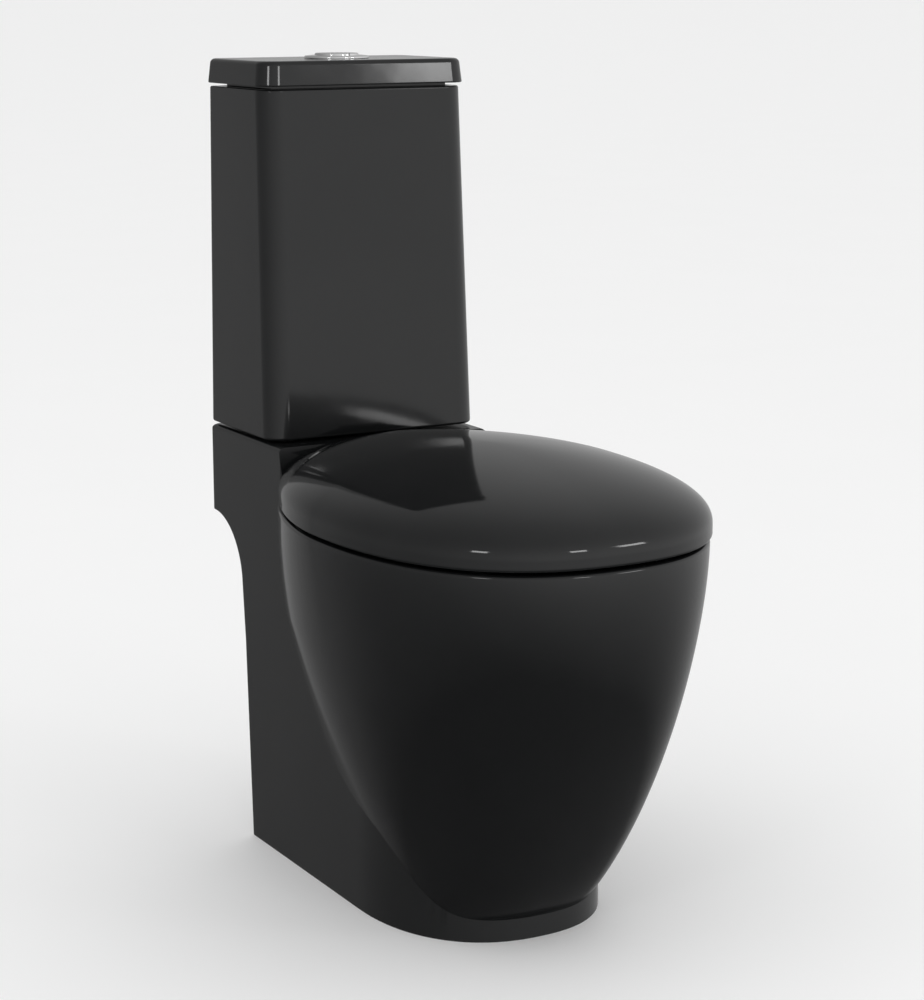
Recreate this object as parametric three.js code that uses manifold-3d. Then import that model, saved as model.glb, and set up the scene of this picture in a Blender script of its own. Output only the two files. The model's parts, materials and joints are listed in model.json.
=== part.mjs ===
// Close coupled toilet: floor-standing pan, cistern with dual flush and fill valve, seat and cover.
// Units are millimetres. +Z is up, the front of the bowl points along -Y and the wall is at the back.
// Inside this file y = 0 is the plane of the wall; the last group centres the whole on its base.
import * as THREE from 'three';
import Module from 'manifold-3d';
import { mergeVertices } from 'three/addons/utils/BufferGeometryUtils.js';

const wasm = await Module();
wasm.setup();

// ---- driving dimensions ----
const OVERALL_DEPTH = 630.4;
const GAP = 0.3; // left between two pieces that touch

// pan: half-egg bowl
const RIM_Z = 388.4;
const BOWL_HALF_WIDTH = 184.6;
const BOWL_CENTRE_Y = -380.7;
const BOWL_CENTRE_SHIFT = -30; // of the section's centre, from the rim to the floor
const BOWL_FRONT = 249.5; // rim centre to its front
const BOWL_REAR = 300; // rim centre to where its rear half would close
const BOWL_POWER_FRONT = 2.3;
const BOWL_POWER_REAR = 1.7; // at the rim; it grows on the way down
const BOWL_POWER_GROWTH = 0.26;
const BOWL_POWER_DEPTH = 110; // below this depth the rear power no longer grows
const BOWL_PLANS = 52; // points round one section
const SIDE_CLOSE = { reach: 512, power: 1.4 }; // depth at which the sides would meet, and how fast
const FRONT_CLOSE = { reach: 413, power: 1.59 };
const REAR_CLOSE = { reach: 389.5, power: 2.5 };
const RIM_ROUND = 3.5;

// pan: pedestal and deck
const SLAB_HALF_WIDTH = 119.7;
const SLAB_NOSE_Y = -339; // where the straight sides of the foot end
const SLAB_NOSE = 152.5;
const SLAB_NOSE_POWER = 2.3;
const SLAB_FRONT = -520; // hidden inside the bowl
const SLAB_FRONT_TOP = 370;
const SLAB_BACK_EDGE = 4; // chamfer of the pedestal's back corners
const DECK_TOP = 434;
const DECK_FRONT = -172;
const DECK_UNDER = 343;
const DECK_ROUND = 6;
const DECK_LIP_Z = 398; // the deck's front face leans back from here to its top
const DECK_CORNER = 8;
const BACK_CURVE = { y: -5, z: 271, radius: 70 }; // hollow curve under the deck's back
const BACK_KNEE = [-80.5, 215];
const BACK_FOOT = [-91, 0];

// pan: hollows
const OPENING_HALF_WIDTH = 127;
const OPENING_CENTRE_Y = -424;
const OPENING_HALF_LENGTH = 152;
const OPENING_POWER = 2.15;
// the well under the rim, as rows of height, half width, front, rear and centre
const WELL = [
  [104, 34, 44, 44, -392],
  [114, 48, 60, 58, -396],
  [150, 62, 80, 76, -402],
  [200, 82, 108, 104, -410],
  [255, 106, 136, 132, -417],
  [305, 123, 154, 148, -421],
  [338, 132, 160, 156, -424],
];
const MOUTH_STEP = 4; // the mouth is this much narrower than the opening's lip
const RECESS_HALF_WIDTH = 106;
const RECESS_FRONT = -163;
const RECESS_TOP = 414;
const DUCT_HALF_WIDTH = 51;
const DUCT_BOTTOM = 384;
const OUTLET_Z = 182;
const OUTLET_END_Y = -42;
const OUTLET_R = 51;
const TRAP_BORE_R = 39;
const TRAP_ROUTE = [
  [0, -392, 128], [0, -340, 150], [0, -290, 216], [0, -240, 222], [0, -200, 192], [0, -150, OUTLET_Z],
  [0, OUTLET_END_Y + 6, OUTLET_Z],
];
const SOCKET_R = 40; // takes the flush valve's tail
const CHANNEL_R = 12; // flush water's way to the rim
const CHANNEL_ROUTE = [[0, -71, 400], [0, -130, 398], [0, -210, 372], [0, -285, 352]];
const FIXING_X = 92;
const FIXING_R = 4.5;
const LUG = { near: 76, far: 108, length: 34, height: 14 };
const BOLT_HOLE_R = 6.5;
const HINGE_HOLE_R = 8.4;
const FILL_HOLE_R = 21;
// the hollow under the foot, as rows of height, half width, front and rear
const UNDERSIDE = [[-1, 102, 178, 96], [60, 98, 174, 94], [84, 86, 150, 84]];
const UNDERSIDE_Y = -292;

// cistern and lid
const TANK_BOTTOM = 437;
const TANK_TOP = 789.5;
const TANK_WALL = 9;
const TANK_FLOOR = 12;
const TANK_BOTTOM_HALF = 119.7;
const TANK_TOP_HALF = 114.6;
const TANK_BOTTOM_DEPTH = 155.5;
const TANK_TOP_DEPTH = 140;
const TANK_FRONT_ROUND = 22;
const TANK_BACK_ROUND = 8;
const TANK_EDGE = 3;
const TANK_VALVE_HOLE_R = 28.5;
const TANK_FILL_HOLE_R = 12;
const TANK_BOLT_HOLE_R = 6;
const LID_BOTTOM = 792.8;
const LID_TOP = 817.6;
const LID_HALF = 116.6;
const LID_DEPTH = 142.6;
const LID_PLATE = 11;
const LID_ROUND = 5;
const LID_DRAFT = 2; // the lid's sides lean in this much

// flush valve, cistern bolts and fill valve, seen from above
const VALVE_Y = -71;
const BOLT_X = 72;
const BOLT_Y = -100;
const FILL_X = 78;
const FILL_Y = -42;
const TANK_FLOOR_TOP = TANK_BOTTOM + TANK_FLOOR;
const LEVER_OFFSET = 13; // each lever lies this far behind or in front of the valve's axis
const LEVER_PIVOT = 5;
const LEVER_Z = 738;
const ROD_X = 15;
const TOWER_R = 30;

// seat
const HINGE_Y = -210;
const HINGE_Z = 418;
const HINGE_X = 77.5;
const PIN_R = 4;
const RING_BOTTOM = 392;
const RING_TOP = 410;
const RING_REAR = -237;
const RING_HALF_WIDTH = 176.5;
const RING_FRONT = 242.5;
const RING_REACH = 270;
const RING_HOLE = { half: 111, front: 138, rear: 140 };
const COVER_BOTTOM = 391.5;
const COVER_EDGE_ROUND = 3;
const COVER_SHOULDER = 403;
const COVER_CROWN = 61;
const COVER_CROWN_POWER = 1.6;
const COVER_EDGE_POWER = 2.3;
const COVER_HALF_WIDTH = 184;
const COVER_CENTRE_Y = -380;
const COVER_FRONT = 250;
const COVER_REAR = 298;
const COVER_POWER_FRONT = 2.4;
const COVER_POWER_REAR = 1.7;
const COVER_REAR_DROP = 5;
const COVER_WALL = 5;
const COVER_REAR_Y = -181.5;
const COVER_SWING_R = 33; // the rear edge turns inside this circle about the hinge
const NOTCH_INNER_X = 46; // the cover's rear wall is notched around each hinge post and ring arm
const NOTCH_OUTER_X = 94;
const NOTCH_TOP = 432.5;
const EAR_R = 9;
const COVER_EAR_X = 95;
const COVER_EAR_WIDTH = 13;
const RING_EAR_X = 48;
const RING_EAR_WIDTH = 14;
const BUFFER_X = 92; // under the cover, near its front
const BUFFER_Y = -548;
const RING_BUFFERS = {
  front_left: [-96, -548],
  front_right: [96, -548],
  rear_left: [-146, -330],
  rear_right: [146, -330],
};

// button
const BUTTON_R = 22.6;
const BEZEL_BORE_R = 23;
const BEZEL_COLLAR_R = 26;
const BEZEL_FLANGE_R = 33.5;
const BUTTON_TOP = 823;
const BUTTON_SPLIT_X = 4;
const BUTTON_BOTTOM = 812;
const BEZEL_BOTTOM = 787;
const ROD_R = 2.2;
const ROD_BOTTOM = 741.5;

// ---- materials ----
const standard = (color, roughness, metalness) =>
  new THREE.MeshStandardMaterial({ color, roughness, metalness });
const glaze = () => standard(0x0b0b0d, 0.08, 0);
const duroplast = () => standard(0x0d0d0f, 0.12, 0);
const chrome = () => standard(0xdadde0, 0.08, 1);
const steel = () => standard(0xa8abae, 0.3, 1);
const rubber = () => standard(0x1b1b1b, 0.85, 0);
const paleRubber = () => standard(0x9a9ca0, 0.75, 0);
const whitePlastic = () => standard(0xe9eaea, 0.4, 0);
const greyPlastic = () => standard(0x5c6266, 0.5, 0);
const bluePlastic = () => standard(0x3a6fa8, 0.45, 0);

// ---- solids ----
function toSolid(geometry) {
  const bare = geometry.index ? geometry.toNonIndexed() : geometry.clone();
  bare.deleteAttribute('normal');
  bare.deleteAttribute('uv');
  const merged = mergeVertices(bare, 1e-4);
  return new wasm.Manifold(new wasm.Mesh({
    numProp: 3,
    vertProperties: new Float32Array(merged.attributes.position.array),
    triVerts: new Uint32Array(merged.index.array),
  }));
}

function toGeometry(solid) {
  const mesh = solid.getMesh();
  const geometry = new THREE.BufferGeometry();
  geometry.setAttribute('position', new THREE.BufferAttribute(new Float32Array(mesh.vertProperties), 3));
  geometry.setIndex(new THREE.BufferAttribute(new Uint32Array(mesh.triVerts), 1));
  return geometry;
}

const join = (...solids) => solids.reduce((sum, solid) => sum.add(solid));
const cut = (body, ...tools) => tools.reduce((rest, tool) => rest.subtract(tool), body);

function piece(name, solid, material) {
  const geometry = toGeometry(solid);
  geometry.computeVertexNormals();
  const mesh = new THREE.Mesh(geometry, material);
  mesh.name = name;
  return mesh;
}

function box(x0, x1, y0, y1, z0, z1) {
  const geometry = new THREE.BoxGeometry(x1 - x0, y1 - y0, z1 - z0);
  geometry.translate((x0 + x1) / 2, (y0 + y1) / 2, (z0 + z1) / 2);
  return toSolid(geometry);
}

// a round bar standing on z0, or lying along X from x0 when axis is 'x', along Y from y0 when 'y'
function bar(radius, x, y, z, length, segments = 16, axis = 'z') {
  const geometry = new THREE.CylinderGeometry(radius, radius, length, segments);
  geometry.translate(0, length / 2, 0);
  if (axis === 'z') geometry.rotateX(Math.PI / 2);
  if (axis === 'x') geometry.rotateZ(-Math.PI / 2);
  geometry.translate(x, y, z);
  return toSolid(geometry);
}

// a turned piece about a vertical axis; the outline is closed and given as [radius, height]
function turned(outline, x, y, segments = 20) {
  const points = [...outline, outline[0]].map(([r, z]) => new THREE.Vector2(r, z));
  const geometry = new THREE.LatheGeometry(points, segments);
  geometry.rotateX(Math.PI / 2);
  geometry.translate(x, y, 0);
  return toSolid(geometry);
}

const tube = (rIn, rOut, x, y, z0, z1, segments = 20) =>
  turned([[rIn, z0], [rOut, z0], [rOut, z1], [rIn, z1]], x, y, segments);

// a nut: flat sides outside, a round hole inside
const nut = (rIn, rOut, x, y, z0, z1, sides) =>
  cut(bar(rOut, x, y, z0, z1 - z0, sides), bar(rIn, x, y, z0 - 1, z1 - z0 + 2, 24));

// a side outline of [y, z] points, extruded along X
function sideSlab(outline, x0, x1) {
  const shape = new THREE.Shape(outline.map(([y, z]) => new THREE.Vector2(y, z)));
  const geometry = new THREE.ExtrudeGeometry(shape, { depth: x1 - x0, bevelEnabled: false });
  const toWorld = new THREE.Matrix4().set(0, 0, 1, x0, 1, 0, 0, 0, 0, 1, 0, 0, 0, 0, 0, 1);
  geometry.applyMatrix4(toWorld);
  return toSolid(geometry);
}

// a plan outline of [x, y] points, extruded up from z0 to z1
function planSlab(outline, z0, z1) {
  const shape = new THREE.Shape(outline.map(([x, y]) => new THREE.Vector2(x, y)));
  const geometry = new THREE.ExtrudeGeometry(shape, { depth: z1 - z0, bevelEnabled: false });
  geometry.translate(0, 0, z0);
  return toSolid(geometry);
}

// joins a stack of rings, each the same number of [x, y, z] points, into one closed skin
function loft(rings) {
  const count = rings[0].length;
  const positions = rings.flat(2);
  const index = [];
  for (let level = 0; level + 1 < rings.length; level += 1) {
    for (let i = 0; i < count; i += 1) {
      const a = level * count + i;
      const b = level * count + ((i + 1) % count);
      index.push(a, b, b + count, a, b + count, a + count);
    }
  }
  const centreOf = (ring) => {
    const sum = ring.reduce((total, p) => total.map((value, k) => value + p[k]), [0, 0, 0]);
    return sum.map((value) => value / count);
  };
  const last = rings.length - 1;
  positions.push(...centreOf(rings[0]), ...centreOf(rings[last]));
  const bottom = rings.length * count;
  for (let i = 0; i < count; i += 1) {
    const j = (i + 1) % count;
    index.push(bottom, j, i);
    index.push(bottom + 1, last * count + i, last * count + j);
  }
  const geometry = new THREE.BufferGeometry();
  geometry.setAttribute('position', new THREE.Float32BufferAttribute(positions, 3));
  geometry.setIndex(index);
  return toSolid(geometry);
}

// ---- outlines ----
// points of an arc from one turn to another, in degrees
function arc(centre, radius, from, to, steps) {
  return Array.from({ length: steps + 1 }, (unused, k) => {
    const turn = ((from + ((to - from) * k) / steps) * Math.PI) / 180;
    return [centre[0] + radius * Math.cos(turn), centre[1] + radius * Math.sin(turn)];
  });
}

const signedPower = (value, power) => Math.sign(value) * Math.abs(value) ** power;

// an egg: one superellipse in front of the centre and another behind it
function egg(z, halfWidth, front, rear, centreY, powerFront, powerRear, count) {
  return Array.from({ length: count }, (unused, i) => {
    const turn = (i / count) * 2 * Math.PI;
    const behind = Math.sin(turn) > 0;
    const power = 2 / (behind ? powerRear : powerFront);
    const x = halfWidth * signedPower(Math.cos(turn), power);
    const y = centreY + (behind ? rear : front) * signedPower(Math.sin(turn), power);
    return [x, y, z];
  });
}

// a rectangle against the wall with rounded back and front corners
function roundedRectangle(z, half, yFront, yBack, roundFront, roundBack, steps) {
  const corners = [
    [half - roundBack, yBack - roundBack, roundBack, 0],
    [-half + roundBack, yBack - roundBack, roundBack, 90],
    [-half + roundFront, yFront + roundFront, roundFront, 180],
    [half - roundFront, yFront + roundFront, roundFront, 270],
  ];
  return corners.flatMap(([x, y, radius, from]) =>
    arc([x, y], radius, from, from + 90, steps).map(([u, v]) => [u, v, z]));
}

// how much of its rim size the half egg keeps at a depth below the rim
const shrink = (depth, { reach, power }) => (1 - (depth / reach) ** power) ** (1 / power);

// the steps of a quarter round, as [how far in, how far up] from where it starts
const quarterRound = (radius, degrees) => arc([0, 0], radius, 0, 90, 90 / degrees)
  .slice(1)
  .map(([across, up]) => [radius - across, up]);

// ---- pan ----
function bowlSection(z, inset) {
  const depth = RIM_Z - z;
  return egg(
    z,
    BOWL_HALF_WIDTH * shrink(depth, SIDE_CLOSE) - inset,
    BOWL_FRONT * shrink(depth, FRONT_CLOSE) - inset,
    BOWL_REAR * shrink(depth, REAR_CLOSE) - inset,
    BOWL_CENTRE_Y + (BOWL_CENTRE_SHIFT * depth) / RIM_Z,
    BOWL_POWER_FRONT,
    BOWL_POWER_REAR + BOWL_POWER_GROWTH * Math.min(depth / BOWL_POWER_DEPTH, 1),
    BOWL_PLANS,
  );
}

function bowlOutside() {
  const walls = [10, 50, 90, 130, 170, 210, 255, 300, 345].map((z) => bowlSection(z, 0));
  const edge = RIM_Z - RIM_ROUND;
  const roundOver = quarterRound(RIM_ROUND, 45).map(([inset, up]) => bowlSection(edge + up, inset));
  return loft([...walls, bowlSection(edge, 0), ...roundOver]);
}

// the outline of the pedestal and deck seen from the side, as [y, z]
function sideOutline() {
  const backCurve = arc([BACK_CURVE.y, BACK_CURVE.z], BACK_CURVE.radius, 90, 177, 6);
  const shoulder = DECK_FRONT - 6;
  return [
    [0, DECK_TOP], [-1.5, DECK_UNDER], ...backCurve, BACK_KNEE, BACK_FOOT, [SLAB_FRONT, 0],
    [SLAB_FRONT, SLAB_FRONT_TOP], [shoulder, SLAB_FRONT_TOP], [shoulder, DECK_LIP_Z],
    [DECK_FRONT, DECK_TOP],
  ];
}

// the foot's plan: straight sides and a blunt nose
function footOutline() {
  const half = SLAB_HALF_WIDTH;
  const edge = SLAB_BACK_EDGE;
  const power = 2 / SLAB_NOSE_POWER;
  const nose = arc([0, 0], 1, 180, 360, 20).map(([x, y]) => [
    half * signedPower(x, power),
    SLAB_NOSE_Y + SLAB_NOSE * signedPower(y, power),
  ]);
  return [[half - edge, 0.5], [-half + edge, 0.5], [-half, 0.5 - edge], ...nose, [half, 0.5 - edge]];
}

// rounds the deck's top edge: everything under this skin is kept
function deckEnvelope() {
  const half = SLAB_HALF_WIDTH + 0.2;
  const front = DECK_FRONT - 8;
  const ring = (z, inset) =>
    roundedRectangle(z, half - inset, front + inset, 0.2 - inset, DECK_CORNER, DECK_CORNER / 2, 3);
  const edge = DECK_TOP - DECK_ROUND;
  const rounded = quarterRound(DECK_ROUND, 30).map(([inset, up]) => ring(edge + up, inset));
  const lower = box(-140, 140, -540, 10, -1, RIM_Z);
  return join(loft([ring(DECK_LIP_Z - 18, 0), ring(edge, 0), ...rounded]), lower);
}

function pedestal() {
  const slab = sideSlab(sideOutline(), -SLAB_HALF_WIDTH - 5, SLAB_HALF_WIDTH + 5);
  return slab.intersect(planSlab(footOutline(), -1, 440)).intersect(deckEnvelope());
}

// the bowl's hollow: mouth, rim step and the well down to the sump
function bowlHollow() {
  const ring = (z, half, front, rear, y) => egg(z, half, front, rear, y, OPENING_POWER, OPENING_POWER, 32);
  const mouth = (z, grow) => {
    const length = OPENING_HALF_LENGTH + grow;
    return ring(z, OPENING_HALF_WIDTH + grow, length, length, OPENING_CENTRE_Y);
  };
  return loft([
    ...WELL.map((row) => ring(...row)),
    mouth(344, -MOUTH_STEP),
    mouth(RIM_Z - 10, -MOUTH_STEP),
    mouth(RIM_Z - 3, 0),
    mouth(RIM_Z + 1, 5),
  ]);
}

// a round passage along a smooth route
function passage(route, radius, steps, sides) {
  const curve = new THREE.CatmullRomCurve3(route.map((p) => new THREE.Vector3(...p)));
  const section = new THREE.Shape(Array.from({ length: sides }, (unused, k) => {
    const turn = (k / sides) * 2 * Math.PI;
    return new THREE.Vector2(radius * Math.cos(turn), radius * Math.sin(turn));
  }));
  const geometry = new THREE.ExtrudeGeometry(section, { steps, extrudePath: curve, bevelEnabled: false });
  return toSolid(geometry);
}

// the outlet spigot, the flush water's duct and the lugs that take the floor fixings
function panFittings() {
  const start = RECESS_FRONT - 5;
  const duct = box(-DUCT_HALF_WIDTH, DUCT_HALF_WIDTH, start, -14, DUCT_BOTTOM, RECESS_TOP + 2);
  const outlet = bar(OUTLET_R, 0, start, OUTLET_Z, OUTLET_END_Y - start, 28, 'y');
  const lugs = [[LUG.near, LUG.far], [-LUG.far, -LUG.near]].map(([x0, x1]) =>
    box(x0, x1, RECESS_FRONT - 2, RECESS_FRONT + LUG.length, 0, LUG.height));
  return [duct, outlet, ...lugs];
}

function panHoles() {
  const under = RECESS_TOP - 5;
  const pairs = [-1, 1].flatMap((side) => [
    bar(BOLT_HOLE_R, side * BOLT_X, BOLT_Y, under, 30, 12),
    bar(HINGE_HOLE_R, side * HINGE_X, HINGE_Y, DECK_UNDER - 2, 60, 14),
    bar(FIXING_R, side * FIXING_X, RECESS_FRONT + 20, -1, 20, 10),
  ]);
  return [...pairs, bar(FILL_HOLE_R, FILL_X, FILL_Y, under, 30, 20)];
}

function panSolid() {
  const recess = box(-RECESS_HALF_WIDTH, RECESS_HALF_WIDTH, RECESS_FRONT, 20, -2, RECESS_TOP);
  const underside = loft(UNDERSIDE.map(([z, half, front, rear]) =>
    egg(z, half, front, rear, UNDERSIDE_Y, 2.8, 6, 28)));
  const ways = [
    passage(TRAP_ROUTE, TRAP_BORE_R, 14, 14),
    passage(CHANNEL_ROUTE, CHANNEL_R, 6, 8),
    bar(SOCKET_R, 0, VALVE_Y, 398, 40, 28),
  ];
  const body = join(cut(join(bowlOutside(), pedestal()), recess), ...panFittings());
  return cut(body, bowlHollow(), ...ways, ...panHoles(), underside);
}

// ---- cistern ----
function tankRing(z, inset, steps) {
  const rise = (z - TANK_BOTTOM) / (TANK_TOP - TANK_BOTTOM);
  const half = TANK_BOTTOM_HALF + (TANK_TOP_HALF - TANK_BOTTOM_HALF) * rise - inset;
  const depth = TANK_BOTTOM_DEPTH + (TANK_TOP_DEPTH - TANK_BOTTOM_DEPTH) * rise - inset;
  const front = Math.max(TANK_FRONT_ROUND - inset, 3);
  const back = Math.max(TANK_BACK_ROUND - inset, 3);
  return roundedRectangle(z, half, -depth, -inset, front, back, steps);
}

function tankSolid() {
  const outside = loft([
    tankRing(TANK_BOTTOM, TANK_EDGE, 6), tankRing(TANK_BOTTOM + TANK_EDGE, 0, 6),
    tankRing(TANK_TOP - 2, 0, 6), tankRing(TANK_TOP, 2, 6),
  ]);
  const inside = loft([tankRing(TANK_FLOOR_TOP, TANK_WALL, 4), tankRing(TANK_TOP + 2, TANK_WALL, 4)]);
  const holes = [
    [TANK_VALVE_HOLE_R, 0, VALVE_Y], [TANK_FILL_HOLE_R, FILL_X, FILL_Y],
    [TANK_BOLT_HOLE_R, -BOLT_X, BOLT_Y], [TANK_BOLT_HOLE_R, BOLT_X, BOLT_Y],
  ].map(([radius, x, y]) => bar(radius, x, y, TANK_BOTTOM - 2, 20, radius > 20 ? 24 : 14));
  return cut(outside, inside, ...holes);
}

function lidSolid() {
  const ring = (z, inset) => {
    const front = 20 - inset / 2;
    return roundedRectangle(z, LID_HALF - inset, -LID_DEPTH + inset, -inset / 2, front, 8, 6);
  };
  const edge = LID_TOP - LID_ROUND;
  const roundOver = quarterRound(LID_ROUND, 30).map(([inset, up]) => ring(edge + up, LID_DRAFT + inset));
  const outside = loft([
    ring(LID_BOTTOM, 1), ring(LID_BOTTOM + 1.5, 0), ring(edge, LID_DRAFT), ...roundOver,
  ]);
  const ceiling = LID_TOP - LID_PLATE;
  const pocket = box(-106, 106, -130, -10, LID_BOTTOM - 5, ceiling);
  const lip = cut(
    box(-99, 99, -124, -14, LID_BOTTOM - 11, ceiling + 1),
    box(-94, 94, -119, -19, LID_BOTTOM - 12, ceiling + 2),
  );
  const hole = bar(BEZEL_COLLAR_R + 0.6, 0, VALVE_Y, ceiling - 1, LID_PLATE + 3, 28);
  return cut(join(cut(outside, pocket), lip), hole);
}

// ---- seat ----
// how much lower the cover's shoulder lies towards the hinge
function rearDrop(y, z) {
  const back = Math.max((y - COVER_CENTRE_Y) / (COVER_REAR_Y - COVER_CENTRE_Y), 0);
  return z < COVER_SHOULDER - 3 ? 0 : COVER_REAR_DROP * Math.min(back, 1) ** 2;
}

// the cover's outer skin, or the skin that lies an inset inside it
function coverSkin(inset) {
  const hollow = inset > 0;
  const shares = hollow ? [1, 0.98, 0.93, 0.83, 0.6, 0.3] : [1, 0.99, 0.965, 0.92, 0.84, 0.7, 0.48, 0.22];
  const ring = (share, height, edge) => {
    const sizes = [COVER_HALF_WIDTH, COVER_FRONT, COVER_REAR].map((size) => (size - inset - edge) * share);
    return egg(height, ...sizes, COVER_CENTRE_Y, COVER_POWER_FRONT, COVER_POWER_REAR, hollow ? 36 : 52)
      .map(([x, y, z]) => [x, y, z - rearDrop(y, z)]);
  };
  const dome = shares.map((share) => {
    const rise = (1 - share ** COVER_CROWN_POWER) ** (1 / COVER_EDGE_POWER);
    return ring(share, COVER_SHOULDER - inset * 0.4 + (COVER_CROWN - inset * 0.6) * rise, 0);
  });
  const round = arc([0, COVER_BOTTOM + COVER_EDGE_ROUND], COVER_EDGE_ROUND, -90, 0, 3);
  const lower = hollow
    ? [ring(1, COVER_BOTTOM - 2, 0)]
    : round.map(([across, z]) => ring(1, z, COVER_EDGE_ROUND - across));
  return loft([...lower, ...dome]);
}

const aboutHinge = (radius, from, to, steps) => arc([HINGE_Y, HINGE_Z], radius, from, to, steps);

// keeps the cover's rear inside the circle it turns in, as a side outline of [y, z]
function coverTrim(inset) {
  const far = -700;
  const low = 380;
  const high = 480;
  const reach = COVER_REAR_Y - HINGE_Y - inset;
  const swing = COVER_SWING_R - inset;
  const corner = (Math.acos(reach / swing) * 180) / Math.PI;
  const foot = (-Math.asin((HINGE_Z - COVER_BOTTOM + 1) / (COVER_REAR_Y - HINGE_Y)) * 180) / Math.PI;
  const rear = [...aboutHinge(swing, 90, corner, 5), ...aboutHinge(reach, 0, foot, 5)];
  const lowest = [rear[rear.length - 1][0], low];
  return sideSlab([[far, low], [far, high], [HINGE_Y, high], ...rear, lowest], -220, 220);
}

// the span from near to near + width on one side of the middle, lowest first
const spanOf = (side, near, width) => (side > 0 ? [near, near + width] : [-near - width, -near]);

function coverSolid() {
  const outside = coverSkin(0).intersect(coverTrim(0));
  const inside = coverSkin(COVER_WALL).intersect(coverTrim(COVER_WALL));
  const profile = [...aboutHinge(EAR_R, -180, 0, 10), [HINGE_Y + EAR_R, 446], [HINGE_Y - EAR_R, 446]];
  const ears = [-1, 1].map((side) => sideSlab(profile, ...spanOf(side, COVER_EAR_X, COVER_EAR_WIDTH)));
  const bosses = [-1, 1].map((side) => bar(6, side * BUFFER_X, BUFFER_Y, 414, 30, 12));
  const extras = join(...ears, ...bosses).intersect(coverSkin(1)).intersect(coverTrim(1));
  const notches = [-1, 1].map((side) => {
    const [x0, x1] = spanOf(side, NOTCH_INNER_X, NOTCH_OUTER_X - NOTCH_INNER_X);
    return box(x0, x1, HINGE_Y + 6, COVER_REAR_Y + 5, COVER_BOTTOM - 10, NOTCH_TOP);
  });
  const bores = [-1, 1].map((side) => {
    const [x0] = spanOf(side, COVER_EAR_X - 1, COVER_EAR_WIDTH + 3);
    return bar(PIN_R + GAP, x0, HINGE_Y, HINGE_Z, COVER_EAR_WIDTH + 3, 14, 'x');
  });
  return cut(join(cut(outside, inside), extras), ...notches, ...bores);
}

function ringEar(side) {
  const back = RING_REAR - 18;
  const low = RING_BOTTOM + 1;
  return sideSlab(
    [...aboutHinge(EAR_R, -60, 110, 8), [back, RING_TOP - 1], [back, low], [RING_REAR + 4, low]],
    ...spanOf(side, RING_EAR_X, RING_EAR_WIDTH),
  );
}

function ringSolid() {
  const outer = (z, inset) => {
    const sizes = [RING_HALF_WIDTH, RING_FRONT, RING_REACH].map((size) => size - inset);
    return egg(z, ...sizes, COVER_CENTRE_Y, COVER_POWER_FRONT, COVER_POWER_REAR, 40);
  };
  const inner = (z, grow) => {
    const sizes = [RING_HOLE.half, RING_HOLE.front, RING_HOLE.rear].map((size) => size + grow);
    return egg(z, ...sizes, OPENING_CENTRE_Y, OPENING_POWER, OPENING_POWER, 32);
  };
  const outside = loft([
    outer(RING_BOTTOM, 0), outer(400, 0), outer(405, 3), outer(408.5, 10), outer(RING_TOP, 20),
  ]);
  const hole = loft([
    inner(RING_BOTTOM - 1, 0), inner(399, 0), inner(405, 4), inner(408.5, 12), inner(RING_TOP + 1, 24),
  ]);
  const rear = box(-220, 220, RING_REAR, 0, RING_BOTTOM - 5, RING_TOP + 5);
  const bores = [-1, 1].map((side) => {
    const [x0] = spanOf(side, RING_EAR_X - 2, RING_EAR_WIDTH + 4);
    return bar(PIN_R + GAP, x0, HINGE_Y, HINGE_Z, RING_EAR_WIDTH + 4, 14, 'x');
  });
  return cut(join(cut(outside, hole, rear), ringEar(-1), ringEar(1)), ...bores);
}

function hingePost(side) {
  const x = side * HINGE_X;
  const foot = turned([[0, 388.7], [13, 388.7], [13, 392.5], [11, 394.5], [0, 394.5]], x, HINGE_Y, 18);
  const column = bar(8.5, x, HINGE_Y, 394, 20, 12);
  const barrel = bar(9, x - 12, HINGE_Y, HINGE_Z, 24, 16, 'x');
  const bore = bar(PIN_R + GAP, x - 13, HINGE_Y, HINGE_Z, 26, 12, 'x');
  const socket = bar(PIN_R + GAP, x, HINGE_Y, 388, 12, 12);
  return cut(join(foot, column, barrel), bore, socket);
}

const hingePin = (side) => bar(PIN_R, side > 0 ? 49 : -107, HINGE_Y, HINGE_Z, 58, 12, 'x');
const hingeBolt = (side) => bar(PIN_R, side * HINGE_X, HINGE_Y, 345, 54, 12);
const hingePlug = (side) => turned(
  [[4.3, 354], [7, 354], [8.1, 358], [8.1, 388], [4.3, 388]], side * HINGE_X, HINGE_Y, 14,
);
const hingePlugNut = (side) => nut(4.3, 7.2, side * HINGE_X, HINGE_Y, 347, 353.7, 6);

function hingeParts(side, word) {
  return [
    piece(`hinge_post_${word}`, hingePost(side), chrome()),
    piece(`hinge_pin_${word}`, hingePin(side), steel()),
    piece(`hinge_bolt_${word}`, hingeBolt(side), steel()),
    piece(`hinge_plug_${word}`, hingePlug(side), rubber()),
    piece(`hinge_plug_nut_${word}`, hingePlugNut(side), steel()),
  ];
}

function seatParts() {
  const pads = Object.entries(RING_BUFFERS).map(([place, [x, y]]) => {
    const pad = tube(2.5, 9, x, y, RIM_Z + GAP, RING_BOTTOM - GAP, 16);
    return piece(`ring_buffer_${place}`, pad, paleRubber());
  });
  const coverPads = [[-1, 'left'], [1, 'right']].map(([side, word]) => {
    const pad = bar(6, side * BUFFER_X, BUFFER_Y, RING_TOP + 0.4, 3.2, 14);
    return piece(`cover_buffer_${word}`, pad, paleRubber());
  });
  return [
    piece('seat_ring', ringSolid(), duroplast()),
    piece('seat_cover', coverSolid(), duroplast()),
    ...pads,
    ...coverPads,
    ...hingeParts(-1, 'left'),
    ...hingeParts(1, 'right'),
  ];
}

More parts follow.
